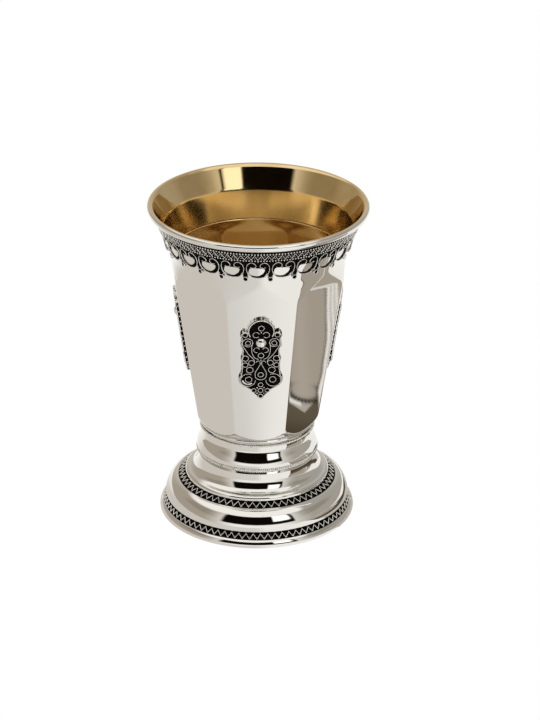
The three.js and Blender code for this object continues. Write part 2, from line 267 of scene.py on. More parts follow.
class Builder:
    """Collects the grids, tubes and beads of one piece, then makes its mesh."""

    def __init__(self):
        self.points = []
        self.faces = []
        self.slots = []
        self.count = 0

    def add(self, points, faces, slot):
        self.points.append(points.reshape(-1, 3))
        self.faces.extend([[corner + self.count for corner in face] for face in faces])
        self.slots.extend([slot] * len(faces))
        self.count += len(self.points[-1])

    def grid(self, points, slot, wrap_rows=False, wrap_columns=True):
        """A skin over points[row][column]."""
        rows, columns = points.shape[:2]
        row, column = np.meshgrid(
            np.arange(rows if wrap_rows else rows - 1),
            np.arange(columns if wrap_columns else columns - 1),
            indexing="ij",
        )
        next_row = (row + 1) % rows
        next_column = (column + 1) % columns
        corners = [
            row * columns + column,
            row * columns + next_column,
            next_row * columns + next_column,
            next_row * columns + column,
        ]
        self.add(points, np.stack(corners, -1).reshape(-1, 4).tolist(), slot)

    def cap(self, ring, slot):
        """A fan that closes a ring of points."""
        count = len(ring)
        centre = ring.mean(0)
        order = np.arange(count)
        fan = np.stack([order, (order + 1) % count, np.full(count, count)], -1)
        self.add(np.vstack([ring, centre]), fan.tolist(), slot)

    def tube(self, path, normals, half_width, half_height, closed=False):
        """A wire along path; its section is half_height tall along the normals."""
        if closed:
            tangent = np.roll(path, -1, 0) - np.roll(path, 1, 0)
        else:
            tangent = np.gradient(path, axis=0)
        side = np.cross(tangent, normals)
        side /= np.linalg.norm(side, axis=1, keepdims=True)
        side = side * np.broadcast_to(half_width, len(path))[:, None]
        above = normals * half_height
        turns = round_columns(WIRE_SIDES)
        section = [path + math.cos(turn) * side + math.sin(turn) * above for turn in turns]
        section = np.array(section).transpose(1, 0, 2)
        self.grid(section, WIRE, wrap_rows=closed)
        if not closed:
            self.cap(section[0], WIRE)
            self.cap(section[-1], WIRE)

    def beads(self, centres, normals, radius, slot=WIRE, squash=1.0, sides=8, rings=4):
        """A ball at each centre, flattened along its normal."""
        helper = np.where(np.abs(normals[:, 2:]) > 0.9, [1.0, 0, 0], [0, 0, 1.0])
        right = np.cross(helper, normals)
        right /= np.linalg.norm(right, axis=1, keepdims=True)
        up = np.cross(normals, right)
        local = ball_points(sides, rings) * (1, 1, squash)
        faces = ball_faces(sides, rings)
        for centre, n, r, u in zip(centres, normals, right, up):
            self.add(centre + radius * (local @ np.array([r, u, n])), faces, slot)

    def piece(self, name, node):
        """Makes the mesh object, which stands for a CAD node."""
        mesh = bpy.data.meshes.new(name)
        points = np.vstack(self.points) * MM
        mesh.from_pydata(points.tolist(), [], self.faces)
        for material in MATERIALS:
            mesh.materials.append(material)
        mesh.polygons.foreach_set("material_index", self.slots)
        mesh.polygons.foreach_set("use_smooth", [True] * len(self.faces))
        mesh.validate()
        weld(mesh)
        piece = bpy.data.objects.new(name, mesh)
        bpy.context.scene.collection.objects.link(piece)
        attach(piece, "root")
        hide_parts(node)
        return piece


def weld(mesh):
    """Joins the skins of a piece along crisp edges and turns every face outwards."""
    work = bmesh.new()
    work.from_mesh(mesh)
    for edge in work.edges:
        edge.smooth = not edge.is_boundary
    bmesh.ops.remove_doubles(work, verts=work.verts, dist=WELD_GAP * MM)
    bmesh.ops.recalc_face_normals(work, faces=work.faces)
    work.to_mesh(mesh)
    work.free()


def ball_points(sides, rings):
    """Points of a ball of radius 1, from pole to pole."""
    points = [(0, 0, 1)]
    for angle in np.linspace(0, math.pi, rings + 1)[1:-1]:
        for turn in round_columns(sides):
            reach = math.sin(angle)
            points.append((reach * math.cos(turn), reach * math.sin(turn), math.cos(angle)))
    points.append((0, 0, -1))
    return np.array(points)


def ball_faces(sides, rings):
    """Faces of a ball: triangles round both poles and quads between."""
    faces = []
    last = 1 + (rings - 1) * sides
    for step in range(sides):
        following = (step + 1) % sides
        faces.append([0, 1 + step, 1 + following])
        for ring in range(rings - 2):
            low = 1 + ring * sides
            high = low + sides
            faces.append([low + step, high + step, high + following, low + following])
        low = last - sides
        faces.append([low + step, last, low + following])
    return faces


# ---- Curves ----

def spline(points, steps=8, closed=False):
    """A smooth curve through all the points."""
    points = np.asarray(points, float)
    if closed:
        padded = np.vstack([points[-1], points, points[:2]])
    else:
        padded = np.vstack([2 * points[0] - points[1], points, 2 * points[-1] - points[-2]])
    t = np.linspace(0, 1, steps, endpoint=False)[:, None]
    parts = []
    for p0, p1, p2, p3 in zip(padded, padded[1:], padded[2:], padded[3:]):
        pull = 2 * p1 + (p2 - p0) * t
        pull += (2 * p0 - 5 * p1 + 4 * p2 - p3) * t**2
        pull += (3 * p1 - p0 - 3 * p2 + p3) * t**3
        parts.append(pull / 2)
    if not closed:
        parts.append(points[-1:])
    return np.vstack(parts)


def evenly(path, spacing, closed=False):
    """The same path with its points a given distance apart."""
    path = np.asarray(path, float)
    if closed:
        path = np.vstack([path, path[:1]])
    reach = np.concatenate([[0], np.cumsum(np.linalg.norm(np.diff(path, axis=0), axis=1))])
    count = max(int(round(reach[-1] / spacing)), 3)
    wanted = np.linspace(0, reach[-1], count, endpoint=not closed)
    axes = [np.interp(wanted, reach, path[:, axis]) for axis in range(path.shape[1])]
    return np.stack(axes, -1)


def circle(centre, radius, start=0.0, end=1.0, steps=20):
    """Points between two fractions of a turn; a full circle has no last point."""
    turns = np.linspace(start, end, steps, endpoint=abs(end - start) < 1) * TURN
    return np.stack([centre[0] + radius * np.cos(turns), centre[1] + radius * np.sin(turns)], -1)


def mirrored(path):
    return np.asarray(path, float) * (-1, 1)


def round_axis(radius, turn, height):
    """Points or directions given by radius, turn round the cup's axis, and height."""
    radius, turn, height = np.broadcast_arrays(radius, turn, height)
    return np.stack([radius * np.cos(turn), radius * np.sin(turn), height], -1)


# ---- The wall ----

# Radius and height of the round form that cuts off the ridges above the base.
BASE_ROUND = spline([
    (17.26, 29.82), (17.5, 30.1), (18.2, 31.0), (18.9, 32.0), (19.38, 33.0), (19.75, 34.0),
    (20.1, 35.0), (20.6, 36.5),
])


def wall_half(z):
    """Half-width of the wall's outside at a height, with its bends rounded."""
    heights = [WALL_Z[0] - 10, *WALL_Z, WALL_Z[-1] + 10]
    end_slope = (WALL_HALF[-1] - WALL_HALF[-2]) / (WALL_Z[-1] - WALL_Z[-2])
    halves = [WALL_HALF[0] - 10 * WALL_SLOPE, *WALL_HALF, WALL_HALF[-1] + 10 * end_slope]
    shifts = np.linspace(-BEND_ROUNDING, BEND_ROUNDING, 9)
    z = np.asarray(z, float)
    return np.mean([np.interp(z + shift, heights, halves) for shift in shifts], axis=0)


def inner_half(z):
    """Half-width of the gilt inside, with crisp bends and a fine groove in the lower one."""
    heights = [WALL_Z[0] - 5, WALL_Z[1], *INNER_CREASES, *INNER_LIP_Z]
    flats = [WALL_HALF[0] - 5 * WALL_SLOPE - SHEET, WALL_HALF[1] - SHEET]
    halves = [*flats, *INNER_HALVES, *INNER_LIP_HALVES]
    shifts = np.linspace(-0.25, 0.25, 7)
    z = np.asarray(z, float)
    depth, spread = GROOVE
    groove = depth * np.exp(-(((z - INNER_CREASES[0]) / spread) ** 2))
    return np.mean([np.interp(z + shift, heights, halves) for shift in shifts], axis=0) + groove


def smooth_step(value, low, high):
    """Rises smoothly from 0 to 1 between two values."""
    t = np.clip((np.asarray(value, float) - low) / (high - low), 0, 1)
    return t * t * (3 - 2 * t)


def ridge_radius(z, half, top=85.5, fade=9.0):
    """A soft ridge over the flats, which widens into a full round above them."""
    return RIDGE_R + (half - RIDGE_R) * smooth_step(z, top - fade, top) ** 1.5


def soft_least(a, b, blend):
    """The smaller of two values, with a soft change from one to the other."""
    share = np.clip(0.5 + 0.5 * (b - a) / blend, 0, 1)
    return b + (a - b) * share - blend * share * (1 - share)


def wall_columns():
    """Directions of the wall's columns, close together at each ridge."""
    half = math.pi / FACETS
    inner = np.linspace(-0.86, 0.86, 15) * half
    ridge = np.linspace(0.88, 1.12, 9) * half
    one = np.concatenate([inner, ridge])
    return np.concatenate([one + facet * 2 * half for facet in range(FACETS)]) - math.pi / 2


def wall_ring(half, z, ridge, columns, inset=0.0):
    """One row of the wall, an octagon with rounded ridges; inset draws in the rounded base."""
    facet = np.round((columns + math.pi / 2) / (TURN / FACETS))
    offset = np.abs(columns + math.pi / 2 - facet * TURN / FACETS)
    edge = math.pi / FACETS
    arc = (half - ridge) / math.cos(edge)
    flat_end = math.atan2(arc * math.sin(edge), half)
    sideways = arc * np.sin(edge - offset)
    rounded = arc * np.cos(edge - offset) + np.sqrt(np.maximum(ridge**2 - sideways**2, 0))
    radius = np.where(offset < flat_end, half / np.cos(offset), rounded)
    if z < BASE_ROUND[-1, 1]:
        base = np.interp(z, BASE_ROUND[:, 1], BASE_ROUND[:, 0]) - inset
        radius = soft_least(radius, base, BASE_BLEND)
    if abs(z - WALL_Z[1]) < 2:
        radius = radius - ridge_dent(z, (edge - offset) * half)
    return round_axis(radius, columns, z)


def ridge_dent(z, sideways):
    """Depth of the small dent where a ridge ends, by height and distance from the ridge."""
    depth, height, width = DENT
    here = math.exp(-(((z - WALL_Z[1]) / height) ** 2))
    return depth * here * np.exp(-((sideways / width) ** 2))


def turned(profile, columns):
    """Rows of points for a profile of (radius, height) turned round the axis."""
    return round_axis(profile[:, :1], columns, profile[:, 1:])


def round_columns(count):
    return np.arange(count) * TURN / count


# ---- Places on the cup ----

def on_band(path, lift, centre=0.0):
    """Points and outward normals for (across, height) places on the rim band."""
    path = np.asarray(path, float)
    angle = centre + path[:, 0] / BAND_MID_R + BAND_PHASE - math.pi / 2
    z = path[:, 1]
    slope = (wall_half(z + 0.1) - wall_half(z - 0.1)) / 0.2
    lean = 1 / np.sqrt(1 + slope**2)
    out, up = lean, -slope * lean
    radius = wall_half(z) + lift * out
    return round_axis(radius, angle, z + lift * up), round_axis(out, angle, up)


def on_plaque(facet):
    """A function that gives points and normals for (across, up) places on one flat."""
    lean = math.atan(WALL_SLOPE)
    angle = facet * TURN / FACETS - math.pi / 2
    outward = np.array([math.cos(angle), math.sin(angle), 0])
    right = np.array([-math.sin(angle), math.cos(angle), 0])
    up = math.sin(lean) * outward + math.cos(lean) * np.array([0, 0, 1.0])
    normal = math.cos(lean) * outward - math.sin(lean) * np.array([0, 0, 1.0])
    middle = outward * wall_half(PLAQUE_MID_Z) + np.array([0, 0, PLAQUE_MID_Z])

    def place(path, lift):
        path = np.asarray(path, float)
        points = middle + path[:, :1] * right + path[:, 1:] * up + lift * normal
        return points, np.broadcast_to(normal, points.shape)

    return place


def on_strip(inner, outer):
    """A function that gives points and normals for (turn, across) places on a sloping strip."""
    inner = np.array(inner)
    face = np.array(outer) - inner
    normal = np.array([-face[1], face[0]]) / np.linalg.norm(face)

    def place(path, lift):
        path = np.asarray(path, float)
        radius, height = (inner + path[:, 1:] * face + lift * normal).T
        turn = path[:, 0] - math.pi / 2
        return round_axis(radius, turn, height), round_axis(normal[0], turn, normal[1])

    return place


# ---- Beaker ----

def beaker_rows(profile, ridge=None, inset=0.0):
    """Rows of points for a profile of (half-width, height)."""
    columns = wall_columns()
    rings = []
    for half, z in profile:
        soft = half if ridge is None else ridge(z, half)
        rings.append(wall_ring(half, z, soft, columns, inset))
    return np.array(rings)


def outside_profiles():
    """Profiles of the base, the crease above it, and the wall up to the gilding."""
    base = [(2.0, BASE_Z), (16.4, BASE_Z), (16.95, BASE_Z + 0.03), (17.2, BASE_Z + 0.25)]
    crease = [(17.24, 29.4), (17.22, 29.55), (17.05, 29.64), (17.07, 29.72), (17.26, 29.82)]
    wall_z = np.concatenate([
        np.linspace(29.85, 36, 50),
        np.linspace(36.6, 76, 30),
        np.linspace(76.5, 97.4, 52),
    ])
    wall = np.stack([wall_half(wall_z), wall_z], -1)
    lip = spline([
        tuple(wall[-1]), (31.0, 97.62), (31.85, 97.73), (32.5, 97.98), (32.88, 98.5),
        (LIP_R, 99.0), (32.9, 99.5), (32.62, 99.84), GILT_EDGE,
    ], 5)
    return base, crease, np.vstack([wall, np.minimum(lip, (LIP_R, LIP_TOP))[1:]])


def inside_profiles():
    """Profiles of the gilt inside from the lip down, and of its floor."""
    lip = spline([
        GILT_EDGE, (32.0, LIP_TOP), (31.5, 99.75), (31.1, 99.3), (30.72, 98.6), (30.35, 97.9),
    ], 5)
    wall_z = np.concatenate([
        np.linspace(97.8, 84.9, 44),
        np.linspace(84.75, 83.85, 19),
        np.linspace(83.7, 76.6, 25),
        np.linspace(76, 32.8, 34),
    ])
    wall = np.stack([inner_half(wall_z), wall_z], -1)
    floor_r = WALL_HALF[0] - SHEET
    hollow = spline([
        tuple(wall[-1]), (floor_r - 0.2, 31.7), (floor_r - 0.8, 30.9), (floor_r - 2, 30.5),
        (floor_r - 4, FLOOR_Z),
    ], 5)
    floor = [(floor_r - 5, FLOOR_Z), (floor_r - 9, FLOOR_Z), (2.0, FLOOR_Z)]
    return np.vstack([np.minimum(lip, (LIP_R, LIP_TOP)), wall, hollow[1:]]), floor


def inner_ridge(z, half):
    return ridge_radius(z, half, top=INNER_CREASES[0] + 0.2, fade=5.5)


def build_beaker():
    builder = Builder()
    base, crease, wall = outside_profiles()
    inside, floor = inside_profiles()
    builder.grid(beaker_rows(base + crease), SILVER)
    outside = [beaker_rows(crease[-1:]), beaker_rows(wall, ridge_radius)]
    builder.grid(np.vstack(outside), SILVER)
    builder.grid(beaker_rows(inside, inner_ridge, SHEET), GILT)
    bottom = [beaker_rows(inside[-1:], inner_ridge, SHEET), beaker_rows(floor, inset=SHEET)]
    builder.grid(np.vstack(bottom), GILT)
    builder.cap(beaker_rows(base[:1])[0], SILVER)
    builder.cap(beaker_rows(floor[-1:], inset=SHEET)[0], GILT)
    return builder.piece("silver_beaker", "beaker")


# ---- Foot ----

def strip_corner(inner, outer, across, depth):
    """A place beside or under a strip of the foot, as (radius, height)."""
    face = np.array(outer) - np.array(inner)
    normal = np.array([-face[1], face[0]]) / np.linalg.norm(face)
    return np.array(inner) + across * face - depth * normal


def strip_channel(inner, outer, before, after):
    """Profile across the channel that holds a strip, from the edge before to the one after."""
    return [
        before,
        strip_corner(inner, outer, -0.05, STRIP_DEPTH),
        strip_corner(inner, outer, 1.05, STRIP_DEPTH),
        after,
    ]


def foot_skins():
    """Profiles of the foot between its crisp edges, from the neck round to the inside."""
    neck = spline([
        NECK_OUT, (16.68, 27.7), (16.6, 27.0), (16.64, 26.3), (16.83, 25.5),
        (17.2, 24.7), (17.62, 23.9), (17.98, 23.1), (18.25, 22.3), (18.42, 21.6), COLLAR,
        (18.2, 20.75), (17.6, 20.3), (17.5, 19.7), (17.75, 19.2), COVE,
    ], 6)
    cove = spline([
        COVE, (18.02, 17.6), (18.3, 16.4), (18.75, 15.3), (19.4, 14.3), (20.3, 13.65),
        (21.3, 13.3), (21.72, 12.98), (21.92, 12.6), COVE_END,
    ], 6)[:-1]
    upper = strip_channel(UPPER_IN, UPPER_OUT, (21.97, 12.0), (24.1, 10.6))
    dome = spline([
        DOME_TOP, (24.95, 10.3), (25.75, 9.75), (26.4, 9.05), (26.95, 8.2), (27.4, 7.3),
        (27.72, 6.4), (27.92, 5.6), (27.97, 5.1), (27.9, 4.65), DOME_END,
    ], 6)[:-1]
    lower = strip_channel(LOWER_IN, LOWER_OUT, (27.68, 4.3), (28.76, 2.3))
    flange = spline([
        FLANGE_TOP, (29.2, 1.82), (29.49, 1.35), (29.67, 0.85), (29.73, 0.4), (29.6, 0.05),
        STANDING_EDGE,
    ], 5)
    under = spline([
        UNDER_EDGE, (28.1, 1.0), (26.95, 3.1), (27.2, 4.4), (26.9, 6.0), (25.5, 7.9),
        (23.4, 9.7), (21.6, 10.8), (19.4, 12.5), (17.7, 14.5), (16.95, 17.0), (16.6, 19.5),
        (16.9, 21.0), (16.8, 22.6), (16.2, 24.2), (15.85, 25.8), NECK_IN,
    ], 6)
    return [
        (np.vstack([neck, cove, [COVE_END]]), SILVER),
        ([COVE_END, *upper[:2]], SILVER),
        (upper[1:3], BLACK),
        ([*upper[2:], DOME_TOP], SILVER),
        (np.vstack([dome, [DOME_END]]), SILVER),
        ([DOME_END, *lower[:2]], SILVER),
        (lower[1:3], BLACK),
        ([*lower[2:], FLANGE_TOP], SILVER),
        (flange, SILVER),
        ([STANDING_EDGE, (29.0, 0.0), UNDER_EDGE], SILVER),
        (under, SILVER),
        ([NECK_IN, NECK_OUT], SILVER),
    ]


def build_foot():
    builder = Builder()
    columns = round_columns(ROUND_STEPS)
    for profile, slot in foot_skins():
        builder.grid(turned(np.array(profile, float), columns), slot)
    return builder.piece("silver_foot", "foot")


# ---- Wires of the foot ----

def zigzag(teeth, low, high):
    """(turn, across) places of a zigzag round the whole strip."""
    corners = []
    for tooth in range(teeth):
        corners.append((tooth * TURN / teeth, low))
        corners.append(((tooth + 0.5) * TURN / teeth, high))
    corners.append((TURN, low))
    corners = np.array(corners)
    t = np.linspace(0, 1, 4, endpoint=False)[:, None]
    return np.vstack([a + (b - a) * t for a, b in zip(corners, corners[1:])])


def build_strip(name, node, inner, outer, teeth):
    """A strip of zigzag wire and grains on a blackened bed."""
    builder = Builder()
    place = on_strip(inner, outer)
    turns = round_columns(ROUND_STEPS)
    bed = [
        (-0.02, -STRIP_DEPTH), (0.0, -BED_DEPTH), (0.5, -BED_DEPTH), (1.0, -BED_DEPTH),
        (1.02, -STRIP_DEPTH),
    ]
    rows = []
    for across, lift in bed:
        rows.append(place(np.stack([turns, np.full(len(turns), across)], -1), lift)[0])
    builder.grid(np.array(rows), BLACK, wrap_rows=True)
    points, normals = place(zigzag(teeth, 0.08, 0.92), -0.12)
    builder.tube(points, normals, 0.11, 0.18, closed=True)
    for shift, across, size in ((0, 0.12, 0.17), (0.5, 0.88, 0.17), (0.5, 0.62, 0.12)):
        turns = (np.arange(teeth) + shift) * TURN / teeth
        points, normals = place(np.stack([turns, np.full(teeth, across)], -1), -0.16)
        builder.beads(points, normals, size, sides=6)
    return builder.piece(name, node)


def build_milled_wire():
    """Two fine strands laid round each other."""
    builder = Builder()
    ring, height, radius = MILLED_RING
    strand_r = radius - STRAND_REACH
    turn = round_columns(STRAND_TURNS * STRAND_STEPS)
    outward = round_axis(1, turn, 0)
    for strand in (0, 0.5):
        phase = STRAND_TURNS * turn + strand * TURN
        path = ring * outward + STRAND_REACH * (np.cos(phase)[:, None] * outward)
        path[:, 2] = height + STRAND_REACH * np.sin(phase)
        normals = outward * np.cos(phase)[:, None]
        normals[:, 2] = np.sin(phase)
        builder.tube(path, normals, strand_r, strand_r, closed=True)
    return builder.piece("milled_wire", "collar_wire_lower")


def build_beaded_wire():
    """A fine round wire with beads pressed into it."""
    builder = Builder()
    ring, height, radius = BEADED_RING
    outward = round_axis(1, round_columns(WIRE_BEADS), 0)
    up = np.array([0, 0, height])
    centres = outward * (ring - 0.02) + up
    builder.beads(centres, outward, radius - 0.03, rings=6)
    core = outward * (ring - 0.1) + up
    builder.tube(core, outward, BEAD_CORE_R, BEAD_CORE_R, closed=True)
    return builder.piece("beaded_wire", "collar_wire_upper")


# ---- Filigree band ----

BAND_PITCH = TURN * BAND_MID_R / BAND_LOOPS


def band_bottom(across):
    """Lower edge of the band's bed at a distance from a loop's middle."""
    reach = np.abs(across) / (BAND_PITCH / 2)
    loop = LOOP_BOTTOM - 0.1 + LOOP_RISE * np.clip(reach / 0.78, 0, 1) ** 3.2
    aside = np.clip((1 - reach) / PENDANT_SHARE, 0, 1)
    pendant = PENDANT_Z - PENDANT_R + PENDANT_R * aside**2
    return np.where(reach > 1 - PENDANT_SHARE, pendant, loop)


def wire(builder, place, path, width, height, lift, closed=False):
    """A wire laid on a surface along a path of flat places."""
    points, normals = place(path, lift)
    builder.tube(points, normals, width, height, closed)


def twisted_wire(builder, place, path, width, height, lift, closed=False):
    """A wire whose edge swells and narrows as a flattened twist does."""
    path = evenly(path, 0.13, closed)
    swell = 1 + 0.22 * np.cos(np.arange(len(path)) * TURN / 4)
    wire(builder, place, path, width * swell, height, lift, closed)


def grains(builder, place, centres, radius, lift, slot=WIRE, rings=5):
    points, normals = place(centres, lift)
    builder.beads(points, normals, radius, slot, GRAIN_SQUASH, 9, rings)


def volute():
    """The left half of one loop, from its lowest point up and into the curl."""
    return spline([
        (0, LOOP_BOTTOM), (-1.8, 88.35), (-2.95, 89.4), (-3.42, 91.0), (-3.2, 92.6),
        (-2.5, 93.5), (-1.7, 93.72), (-0.9, 93.25), (-0.58, 92.4), (-0.95, 91.8),
        (-1.6, 91.65), (-2.25, 91.9),
    ], 6)


def window_patch(builder, place):
    """A polished, slightly domed oval that shows inside a loop."""
    columns = round_columns(36)
    half_width, above, below = WINDOW_SIZE
    across = half_width * np.sign(np.cos(columns)) * np.abs(np.cos(columns)) ** 0.9
    height = np.where(np.sin(columns) > 0, above, below) * np.sin(columns)
    rows = []
    for reach in np.linspace(1, 0.12, 7):
        path = np.stack([across, height], -1) * reach + WINDOW_MID
        rows.append(place(path, 0.31 + 0.12 * (1 - reach**2))[0])
    builder.grid(np.array(rows), SILVER)
    builder.cap(rows[-1], SILVER)


def band_bed(builder):
    """The blackened bed: up its front, which swells under the beaded rows, and down its back."""
    across = (np.arange(LOOP_STEPS) / LOOP_STEPS - 0.5) * BAND_PITCH
    bottoms = np.tile(band_bottom(across), BAND_LOOPS)
    everywhere = np.concatenate([across + loop * BAND_PITCH for loop in range(BAND_LOOPS)])
    front = [
        (0, 0.02), (0, 0.3), (0.12, 0.34), (0.3, 0.3), (0.5, 0.3), (0.64, 0.42), (0.7, 0.3),
        (0.85, 0.3), (0.97, 0.42), (1, 0.3), (1, 0.02),
    ]
    back = [(0.75, 0.0), (0.5, 0.0), (0.35, 0.0), (0.15, 0.0)]
    rows = []
    for share, lift in front + back:
        height = bottoms + share * (BAND_TOP - bottoms)
        rows.append(on_band(np.stack([everywhere, height], -1), lift)[0])
    builder.grid(np.array(rows), BLACK, wrap_rows=True)


def beaded_row(builder, z, pitch, radius):
    """A row of beads round the band at one height."""
    ring = TURN * BAND_MID_R
    count = int(round(ring / pitch * wall_half(z) / BAND_MID_R))
    places = np.stack([np.arange(count) * ring / count, np.full(count, z)], -1)
    grains(builder, on_band, places, radius, 0.5)


def lattice(builder, place):
    """The zigzag wire between the beaded rows, over the width of one loop."""
    step = BAND_PITCH / LATTICE_TEETH
    low, high = LATTICE_Z
    for tooth in range(LATTICE_TEETH):
        left = (tooth - LATTICE_TEETH / 2) * step
        path = [(left, low), (left + step / 2, high), (left + step, low)]
        wire(builder, place, evenly(path, 0.25), 0.075, 0.22, 0.42)
        centres = [(left + step / 2, low + 0.4), (left, high - 0.35)]
        grains(builder, place, centres, 0.16, 0.4)


def pendant(builder, place):
    """The small ring and grains that hang between two loops."""
    edge = BAND_PITCH / 2
    ring = circle((edge, PENDANT_Z), 0.72, steps=16)
    wire(builder, place, ring, 0.085, 0.3, 0.5, closed=True)
    centres = [(edge, PENDANT_Z - 0.85), (0, 93.9), (edge - 0.7, 88.6), (edge + 0.7, 88.6)]
    grains(builder, place, centres, 0.2, 0.36)


def build_band():
    builder = Builder()
    band_bed(builder)
    beaded_row(builder, BAND_TOP_ROW, 0.87, 0.27)
    beaded_row(builder, BAND_LOW_ROW, 0.84, 0.26)
    half = volute()
    loop_path = np.vstack([mirrored(half)[::-1], half[1:]])
    for loop in range(BAND_LOOPS):
        def place(path, lift, centre=loop * TURN / BAND_LOOPS):
            return on_band(path, lift, centre)

        twisted_wire(builder, place, loop_path, 0.09, 0.18, 0.6)
        window_patch(builder, place)
        lattice(builder, place)
        pendant(builder, place)
    return builder.piece("filigree_band", "rim_band")


# ---- Plaques ----

# Lobes down the right side of a plaque: centre, radius, and the turns its edge runs between.
PLAQUE_LOBES = [
    ((0.0, 9.8), 4.05, 0.25, -0.03),
    ((4.65, 8.3), 1.5, 0.24, -0.12),
    ((3.9, 5.0), 2.1, 0.05, -0.12),
    ((4.7, 0.0), 1.2, 0.15, -0.08),
    ((4.6, -2.3), 1.1, 0.05, -0.08),
    ((3.7, -7.2), 2.85, 0.11, -0.19),
    ((1.9, -11.0), 1.05, 0.05, -0.2),
    ((0.0, -13.1), 1.1, 0.0, -0.25),
]


def plaque_outline(inset):
    """The plaque's edge, drawn in by some width, from its top round by the right."""
    right = []
    for centre, radius, start, end in PLAQUE_LOBES:
        right.append(circle(centre, radius - inset, start, end, 7))
    right = np.vstack(right)
    left = mirrored(right[1:-1])[::-1]
    return np.vstack([right, left])


def spiral(centre, radius, start, turns, end_radius):
    """A curl that winds in towards its centre."""
    t = np.linspace(0, 1, 26)
    reach = radius + (end_radius - radius) * t
    turn = (start + turns * t) * TURN
    return np.stack([centre[0] + reach * np.cos(turn), centre[1] + reach * np.sin(turn)], -1)


def plaque_plate(builder, place):
    """The closed plate: bright at the side of its arch, and blackened elsewhere."""
    edge = evenly(plaque_outline(0.05), 0.3, closed=True)
    middle = np.array([0.0, -0.5])
    bed = [place(middle + (edge - middle) * reach, PLATE)[0] for reach in (1, 0.7, 0.4, 0.1)]
    back = [place(middle + (edge - middle) * reach, 0.0)[0] for reach in (1, 0.1)]
    beside = edge[:, 1] < ARCH_LOW
    wall = np.array([place(edge, lift)[0] for lift in (0.0, PLATE)])
    wall = np.roll(wall, -int(np.argmax(beside)), axis=1)
    sides = int(np.count_nonzero(beside))
    arch = np.concatenate([wall[:, sides:], wall[:, :1]], axis=1)
    builder.grid(wall[:, :sides + 1], BLACK, wrap_columns=False)
    builder.grid(arch, WIRE, wrap_columns=False)
    for skin in (bed, back):
        builder.grid(np.array(skin), BLACK)
        builder.cap(skin[-1], BLACK)


def plaque_edge(builder, place):
    """Beads round the side of the plate, and a twisted wire along its edge."""
    grains(builder, place, evenly(plaque_outline(0.14), 1.7, closed=True), 0.3, PLATE * 0.55)
    rim = evenly(plaque_outline(0.28), 0.3, closed=True)
    twisted_wire(builder, place, rim, 0.11, 0.36, PLATE + 0.12, closed=True)


def plaque_scrolls(builder, place):
    """Fine twisted scrolls, rings and grains, the same on both sides but for one crescent."""
    low = PLATE + 0.2
    fine = dict(width=0.09, height=0.14, lift=low)

    def both(path, **options):
        for one in (path, mirrored(path)):
            twisted_wire(builder, place, one, **{**fine, **options})

    def ring(centre, radius):
        path = circle(centre, radius, steps=18)
        if centre[0] == 0:
            twisted_wire(builder, place, path, **fine, closed=True)
        else:
            both(path, closed=True)

    arch = circle((0, 9.8), 3.7, -0.08, 0.58, 34)
    twisted_wire(builder, place, arch, 0.16, 0.25, low)
    ring((0, 10.9), 0.85)
    both(circle((1.5, 8.6), 0.95, -0.4, 0.45, 18))
    ring((4.75, 8.6), 0.75)
    both(spiral((3.85, 5.8), 1.72, -0.1, 1.0, 1.2))
    ring((3.85, 5.8), 0.75)
    both(spline([(5.35, 4.8), (3.75, 2.0), (2.2, 0.1), (1.9, -1.1), (2.4, -2.0)], 6))
    both(spline([(2.5, 6.0), (2.75, 4.2), (2.6, 2.2), (1.9, 0.7), (0.7, 0.05)], 6))
    both(circle((1.3, 3.3), 0.85, 0.45, -0.3, 16))
    ring((0, 1.4), 0.85)
    ring((4.6, 0.4), 0.95)
    both(circle((2.75, -1.2), 0.9, -0.3, 0.42, 18))
    ring((4.6, -1.9), 0.8)
    ring((3.25, -3.7), 1.0)
    drop = [
        (0, -1.5), (0.8, -3.0), (1.6, -4.6), (1.5, -6.3), (0.65, -7.1), (-0.65, -7.1),
        (-1.5, -6.3), (-1.6, -4.6), (-0.8, -3.0),
    ]
    twisted_wire(builder, place, spline(drop, 6, closed=True), **fine, closed=True)
    ring((0, -5.4), 0.8)
    both(circle((0.8, -1.1), 0.6, 0.6, 0.02, 12))
    both(circle((3.75, -7.3), 2.2, 0.32, -0.5, 30))
    ring((3.55, -7.1), 0.98)
    ring((0, -9.0), 0.72)
    ring((2.0, -11.0), 0.68)
    ring((0, -11.0), 0.75)
    ring((0, -13.0), 0.68)
    grains(builder, place, [(1.0, -10.0), (-1.0, -10.0), (1.0, -12.0), (-1.0, -12.0)], 0.24, low)
    grains(builder, place, [(0, -14.0), (2.9, -10.8), (-2.9, -10.8), (0.9, 13.5)], 0.32, low)
    grains(builder, place, [(0, 9.4), (5.3, 9.6), (-5.3, 9.6), (0, -0.3)], 0.22, low)
    crescent = circle((-3.65, -7.15), 1.72, 0.53, 0.86, 20)
    wire(builder, place, crescent, 0.3, 0.1, PLATE + 0.05)


def build_plaque(side, facet):
    """Filigree scrolls and a ball on a blackened plate with a raised edge."""
    builder = Builder()
    place = on_plaque(facet)
    plaque_plate(builder, place)
    plaque_edge(builder, place)
    plaque_scrolls(builder, place)
    grains(builder, place, [(0, 5.8)], 1.75, PLATE - 0.1, SILVER, rings=12)
    return builder.piece(f"filigree_plaque_{side}", f"plaque_{side}")


# ---- Pieces ----

build_beaker()
build_foot()
build_milled_wire()
build_beaded_wire()
build_strip("zigzag_upper", "foot_wire_upper", UPPER_IN, UPPER_OUT, UPPER_TEETH)
build_strip("zigzag_lower", "foot_wire_lower", LOWER_IN, LOWER_OUT, LOWER_TEETH)
build_band()
for number, side in enumerate(("front", "right", "back", "left")):
    build_plaque(side, 2 * number)


# ---- Camera ----

